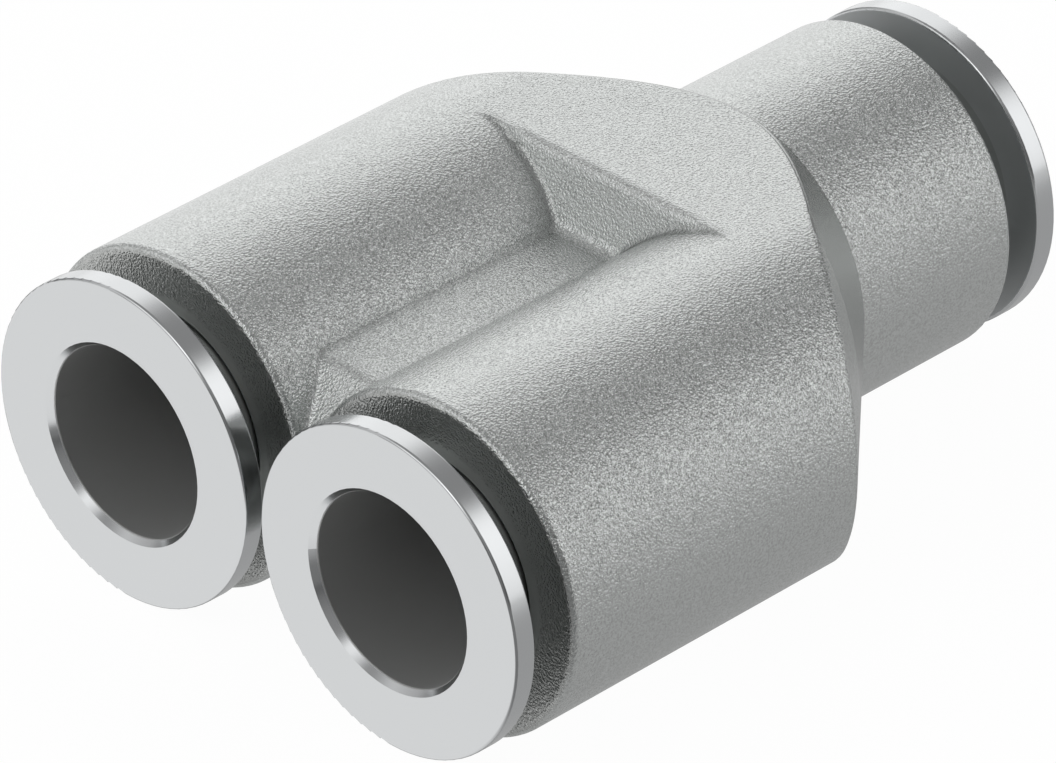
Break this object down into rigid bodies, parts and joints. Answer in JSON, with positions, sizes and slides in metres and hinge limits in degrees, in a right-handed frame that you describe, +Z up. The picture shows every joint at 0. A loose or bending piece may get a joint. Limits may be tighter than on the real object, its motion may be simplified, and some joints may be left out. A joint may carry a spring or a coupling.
{
  "type": "tubing y connector",
  "caption": "Metal push-in Y connector for plastic tubing, with side by side branch ports, an opposite single port and sliding release rings.",
  "frame": {"origin": "centre of the footprint, on the underside", "axes": "+X towards the single port, +Y towards the left branch, +Z up"},
  "size_m": [0.0382, 0.0294, 0.0146],
  "materials": {
    "body": "cast, matt nickel plate",
    "ring": "turned, bright nickel plate",
    "guide": "turned, nickel plate",
    "claw": "pressed spring steel",
    "washer": "turned, plain",
    "seal": "moulded, smooth"
  },
  "bodies": {
    "fitting": {"fitting_body": "body", "left_guide_ring": "guide", "left_claw_ring": "claw", "left_backing_washer": "washer", "left_tube_seal": "seal", "right_guide_ring": "guide", "right_claw_ring": "claw", "right_backing_washer": "washer", "right_tube_seal": "seal", "single_guide_ring": "guide", "single_claw_ring": "claw", "single_backing_washer": "washer", "single_tube_seal": "seal"},
    "left_ring": {"left_release_ring": "ring"},
    "right_ring": {"right_release_ring": "ring"},
    "single_ring": {"single_release_ring": "ring"}
  },
  "joints": [
    {"name": "left_ring_press", "type": "slide", "parent": "fitting", "child": "left_ring", "axis": [1, 0, 0], "range_m": [0, 0.0012], "stiffness_N_per_m": 200, "deforming": ["left_claw_ring"]},
    {"name": "right_ring_press", "type": "slide", "parent": "fitting", "child": "right_ring", "axis": [1, 0, 0], "range_m": [0, 0.0012], "stiffness_N_per_m": 200, "deforming": ["right_claw_ring"]},
    {"name": "single_ring_press", "type": "slide", "parent": "fitting", "child": "single_ring", "axis": [-1, 0, 0], "range_m": [0, 0.0012], "stiffness_N_per_m": 200, "deforming": ["single_claw_ring"]}
  ]
}
